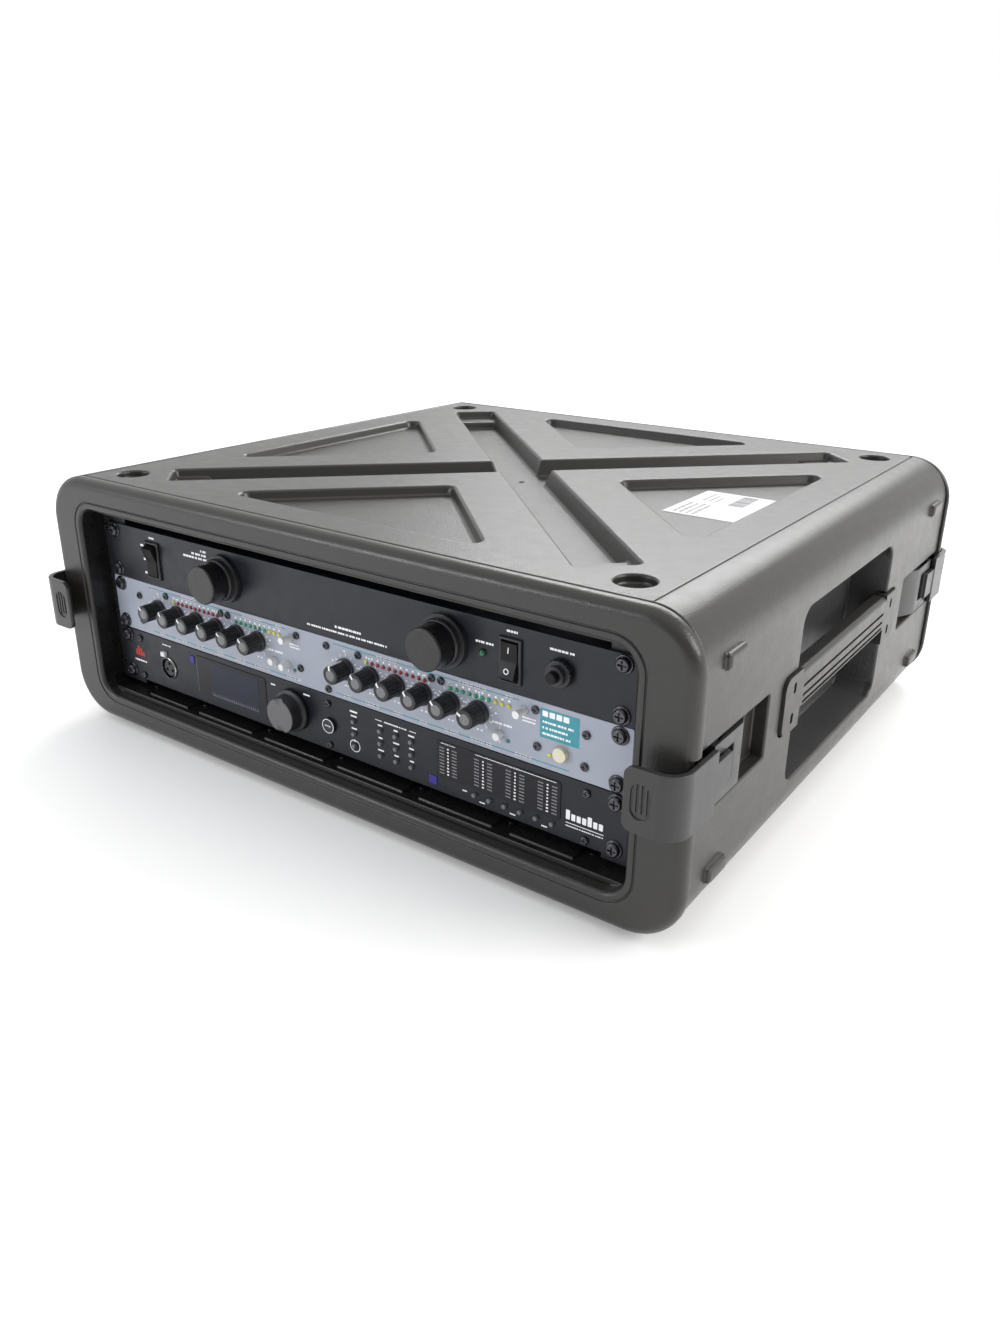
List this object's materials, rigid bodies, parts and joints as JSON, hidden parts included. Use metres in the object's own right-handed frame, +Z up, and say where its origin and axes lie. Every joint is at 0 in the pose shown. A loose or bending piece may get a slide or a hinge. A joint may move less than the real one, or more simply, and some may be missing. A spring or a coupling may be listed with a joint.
{
  "type": "portable effects rack",
  "caption": "Portable moulded rack case, open front and back, with side handles and latches, holding three audio units with lamps, knobs, keys and displays.",
  "frame": {"origin": "middle of the footprint on the surface the feet stand on", "axes": "+X to the right seen from the front, +Y to the back, +Z up; the front panels face -Y"},
  "size_m": [0.579, 0.542, 0.21],
  "materials": {
    "case_plastic": "fine moulded grain",
    "latch_plastic": "smooth satin",
    "handle_plastic": "smooth satin",
    "foot_rubber": "matt",
    "zinc_steel": "zinc plated",
    "screw_steel": "nickel plated",
    "screw_black": "black oxide",
    "panel_black": "satin powder coat",
    "panel_lilac": "satin enamel",
    "chassis_steel": "matt",
    "socket_plastic": "satin",
    "board_green": "solder mask",
    "bezel_black": "satin",
    "lamp_body": "satin",
    "rocker_black": "gloss",
    "nickel": "satin nickel",
    "breaker_cap": "gloss",
    "knob_plastic": "satin",
    "key_white": "gloss",
    "key_cream": "gloss",
    "led_lens": "clear tinted",
    "wheel_black": "satin",
    "window_glass": "polished",
    "key_grey": "matt"
  },
  "bodies": {
    "case": {"bottom_shell": "case_plastic", "breaker_body": "nickel", "carry_handle_left": "handle_plastic", "carry_handle_right": "handle_plastic", "case_screws": "screw_steel", "chassis_covers": "chassis_steel", "circuit_boards": "board_green", "compressor_chassis": "chassis_steel", "compressor_faceplate": "panel_lilac", "display_windows": "window_glass", "front_rim": "case_plastic", "indicator_leds": "led_lens", "latch_bases": "latch_plastic", "mic_socket": "nickel", "panel_bezels": "bezel_black", "panel_screws": "screw_black", "power_chassis": "chassis_steel", "power_faceplate": "panel_black", "processor_chassis": "chassis_steel", "processor_faceplate": "panel_black", "rack_rails": "zinc_steel", "rear_rim": "case_plastic", "rear_sockets": "socket_plastic", "side_panel_left": "case_plastic", "side_panel_right": "case_plastic", "stacking_feet": "foot_rubber", "top_shell": "case_plastic"},
    "latch_lever_front_right": {"latch_lever_front_right": "latch_plastic"},
    "latch_lever_front_left": {"latch_lever_front_left": "latch_plastic"},
    "latch_lever_rear_left": {"latch_lever_rear_left": "latch_plastic"},
    "latch_lever_rear_right": {"latch_lever_rear_right": "latch_plastic"},
    "lamp_tube_left": {"lamp_tube_left": "lamp_body"},
    "lamp_tube_right": {"lamp_tube_right": "lamp_body"},
    "light_rocker": {"light_rocker": "rocker_black"},
    "power_rocker": {"power_rocker": "rocker_black"},
    "breaker_button": {"breaker_button": "breaker_cap"},
    "channel_1_knob_1": {"channel_1_knob_1": "knob_plastic"},
    "channel_1_knob_2": {"channel_1_knob_2": "knob_plastic"},
    "channel_1_knob_3": {"channel_1_knob_3": "knob_plastic"},
    "channel_1_knob_4": {"channel_1_knob_4": "knob_plastic"},
    "channel_1_knob_5": {"channel_1_knob_5": "knob_plastic"},
    "channel_1_knob_6": {"channel_1_knob_6": "knob_plastic"},
    "channel_2_knob_1": {"channel_2_knob_1": "knob_plastic"},
    "channel_2_knob_2": {"channel_2_knob_2": "knob_plastic"},
    "channel_2_knob_3": {"channel_2_knob_3": "knob_plastic"},
    "channel_2_knob_4": {"channel_2_knob_4": "knob_plastic"},
    "channel_2_knob_5": {"channel_2_knob_5": "knob_plastic"},
    "channel_2_knob_6": {"channel_2_knob_6": "knob_plastic"},
    "channel_1_meter_key": {"channel_1_meter_key": "key_white"},
    "channel_1_bypass_key": {"channel_1_bypass_key": "key_white"},
    "channel_link_key": {"channel_link_key": "key_white"},
    "channel_2_meter_key": {"channel_2_meter_key": "key_white"},
    "channel_2_bypass_key": {"channel_2_bypass_key": "key_white"},
    "compressor_power_key": {"compressor_power_key": "key_cream"},
    "data_wheel": {"data_wheel": "wheel_black"},
    "menu_keys": {"menu_keys": "key_grey"},
    "output_keys": {"output_keys": "key_grey"},
    "mute_keys": {"mute_keys": "key_grey"},
    "standby_key": {"standby_key": "key_white"},
    "mic_latch": {"mic_latch": "nickel"}
  },
  "joints": [
    {"name": "latch_lever_front_right_hinge", "type": "hinge", "parent": "case", "child": "latch_lever_front_right", "pos_m": [0.2805, -0.207, 0.107], "axis": [0, 0, 1], "range_deg": [0, 100]},
    {"name": "latch_lever_front_left_hinge", "type": "hinge", "parent": "case", "child": "latch_lever_front_left", "pos_m": [-0.2805, -0.207, 0.107], "axis": [0, 0, -1], "range_deg": [0, 100]},
    {"name": "latch_lever_rear_left_hinge", "type": "hinge", "parent": "case", "child": "latch_lever_rear_left", "pos_m": [-0.2805, 0.207, 0.107], "axis": [0, 0, 1], "range_deg": [0, 100]},
    {"name": "latch_lever_rear_right_hinge", "type": "hinge", "parent": "case", "child": "latch_lever_rear_right", "pos_m": [0.2805, 0.207, 0.107], "axis": [0, 0, -1], "range_deg": [0, 100]},
    {"name": "lamp_tube_left_slide", "type": "slide", "parent": "case", "child": "lamp_tube_left", "axis": [0, -1, 0], "range_m": [-0.014, 0.09]},
    {"name": "lamp_tube_right_slide", "type": "slide", "parent": "case", "child": "lamp_tube_right", "axis": [0, -1, 0], "range_m": [-0.014, 0.09]},
    {"name": "light_rocker_pivot", "type": "hinge", "parent": "case", "child": "light_rocker", "pos_m": [-0.186, -0.233, 0.15025], "axis": [1, 0, 0], "range_deg": [-18, 0]},
    {"name": "power_rocker_pivot", "type": "hinge", "parent": "case", "child": "power_rocker", "pos_m": [0.1553, -0.233, 0.15025], "axis": [1, 0, 0], "range_deg": [0, 18]},
    {"name": "breaker_button_slide", "type": "slide", "parent": "case", "child": "breaker_button", "axis": [0, -1, 0], "range_m": [0, 0.004]},
    {"name": "channel_1_knob_1_turn", "type": "hinge", "parent": "case", "child": "channel_1_knob_1", "pos_m": [-0.1865, -0.235, 0.1097], "axis": [0, 1, 0], "range_deg": [-150, 150]},
    {"name": "channel_1_knob_2_turn", "type": "hinge", "parent": "case", "child": "channel_1_knob_2", "pos_m": [-0.1635, -0.235, 0.1097], "axis": [0, 1, 0], "range_deg": [-150, 150]},
    {"name": "channel_1_knob_3_turn", "type": "hinge", "parent": "case", "child": "channel_1_knob_3", "pos_m": [-0.1405, -0.235, 0.1097], "axis": [0, 1, 0], "range_deg": [-150, 150]},
    {"name": "channel_1_knob_4_turn", "type": "hinge", "parent": "case", "child": "channel_1_knob_4", "pos_m": [-0.1175, -0.235, 0.1097], "axis": [0, 1, 0], "range_deg": [-150, 150]},
    {"name": "channel_1_knob_5_turn", "type": "hinge", "parent": "case", "child": "channel_1_knob_5", "pos_m": [-0.0945, -0.235, 0.1097], "axis": [0, 1, 0], "range_deg": [-150, 150]},
    {"name": "channel_1_knob_6_turn", "type": "hinge", "parent": "case", "child": "channel_1_knob_6", "pos_m": [-0.0715, -0.235, 0.1097], "axis": [0, 1, 0], "range_deg": [-150, 150]},
    {"name": "channel_2_knob_1_turn", "type": "hinge", "parent": "case", "child": "channel_2_knob_1", "pos_m": [0.0165, -0.235, 0.1097], "axis": [0, 1, 0], "range_deg": [-150, 150]},
    {"name": "channel_2_knob_2_turn", "type": "hinge", "parent": "case", "child": "channel_2_knob_2", "pos_m": [0.0395, -0.235, 0.1097], "axis": [0, 1, 0], "range_deg": [-150, 150]},
    {"name": "channel_2_knob_3_turn", "type": "hinge", "parent": "case", "child": "channel_2_knob_3", "pos_m": [0.0625, -0.235, 0.1097], "axis": [0, 1, 0], "range_deg": [-150, 150]},
    {"name": "channel_2_knob_4_turn", "type": "hinge", "parent": "case", "child": "channel_2_knob_4", "pos_m": [0.0855, -0.235, 0.1097], "axis": [0, 1, 0], "range_deg": [-150, 150]},
    {"name": "channel_2_knob_5_turn", "type": "hinge", "parent": "case", "child": "channel_2_knob_5", "pos_m": [0.1085, -0.235, 0.1097], "axis": [0, 1, 0], "range_deg": [-150, 150]},
    {"name": "channel_2_knob_6_turn", "type": "hinge", "parent": "case", "child": "channel_2_knob_6", "pos_m": [0.1315, -0.235, 0.1097], "axis": [0, 1, 0], "range_deg": [-150, 150]},
    {"name": "channel_1_meter_key_press", "type": "slide", "parent": "case", "child": "channel_1_meter_key", "axis": [0, 1, 0], "range_m": [0, 0.003], "stiffness_N_per_m": 400},
    {"name": "channel_1_bypass_key_press", "type": "slide", "parent": "case", "child": "channel_1_bypass_key", "axis": [0, 1, 0], "range_m": [0, 0.003], "stiffness_N_per_m": 400},
    {"name": "channel_link_key_press", "type": "slide", "parent": "case", "child": "channel_link_key", "axis": [0, 1, 0], "range_m": [0, 0.003], "stiffness_N_per_m": 400},
    {"name": "channel_2_meter_key_press", "type": "slide", "parent": "case", "child": "channel_2_meter_key", "axis": [0, 1, 0], "range_m": [0, 0.003], "stiffness_N_per_m": 400},
    {"name": "channel_2_bypass_key_press", "type": "slide", "parent": "case", "child": "channel_2_bypass_key", "axis": [0, 1, 0], "range_m": [0, 0.003], "stiffness_N_per_m": 400},
    {"name": "compressor_power_key_press", "type": "slide", "parent": "case", "child": "compressor_power_key", "axis": [0, 1, 0], "range_m": [0, 0.003], "stiffness_N_per_m": 400},
    {"name": "data_wheel_spin", "type": "hinge", "parent": "case", "child": "data_wheel", "pos_m": [-0.04, -0.235, 0.06255], "axis": [0, 1, 0], "continuous": true},
    {"name": "menu_keys_press", "type": "slide", "parent": "case", "child": "menu_keys", "axis": [0, 1, 0], "range_m": [0, 0.0015], "stiffness_N_per_m": 400},
    {"name": "output_keys_press", "type": "slide", "parent": "case", "child": "output_keys", "axis": [0, 1, 0], "range_m": [0, 0.0015], "stiffness_N_per_m": 400},
    {"name": "mute_keys_press", "type": "slide", "parent": "case", "child": "mute_keys", "axis": [0, 1, 0], "range_m": [0, 0.0015], "stiffness_N_per_m": 400},
    {"name": "standby_key_press", "type": "slide", "parent": "case", "child": "standby_key", "axis": [0, 1, 0], "range_m": [0, 0.0015], "stiffness_N_per_m": 400},
    {"name": "mic_latch_press", "type": "slide", "parent": "case", "child": "mic_latch", "axis": [0, 1, 0], "range_m": [0, 0.002], "stiffness_N_per_m": 400}
  ]
}
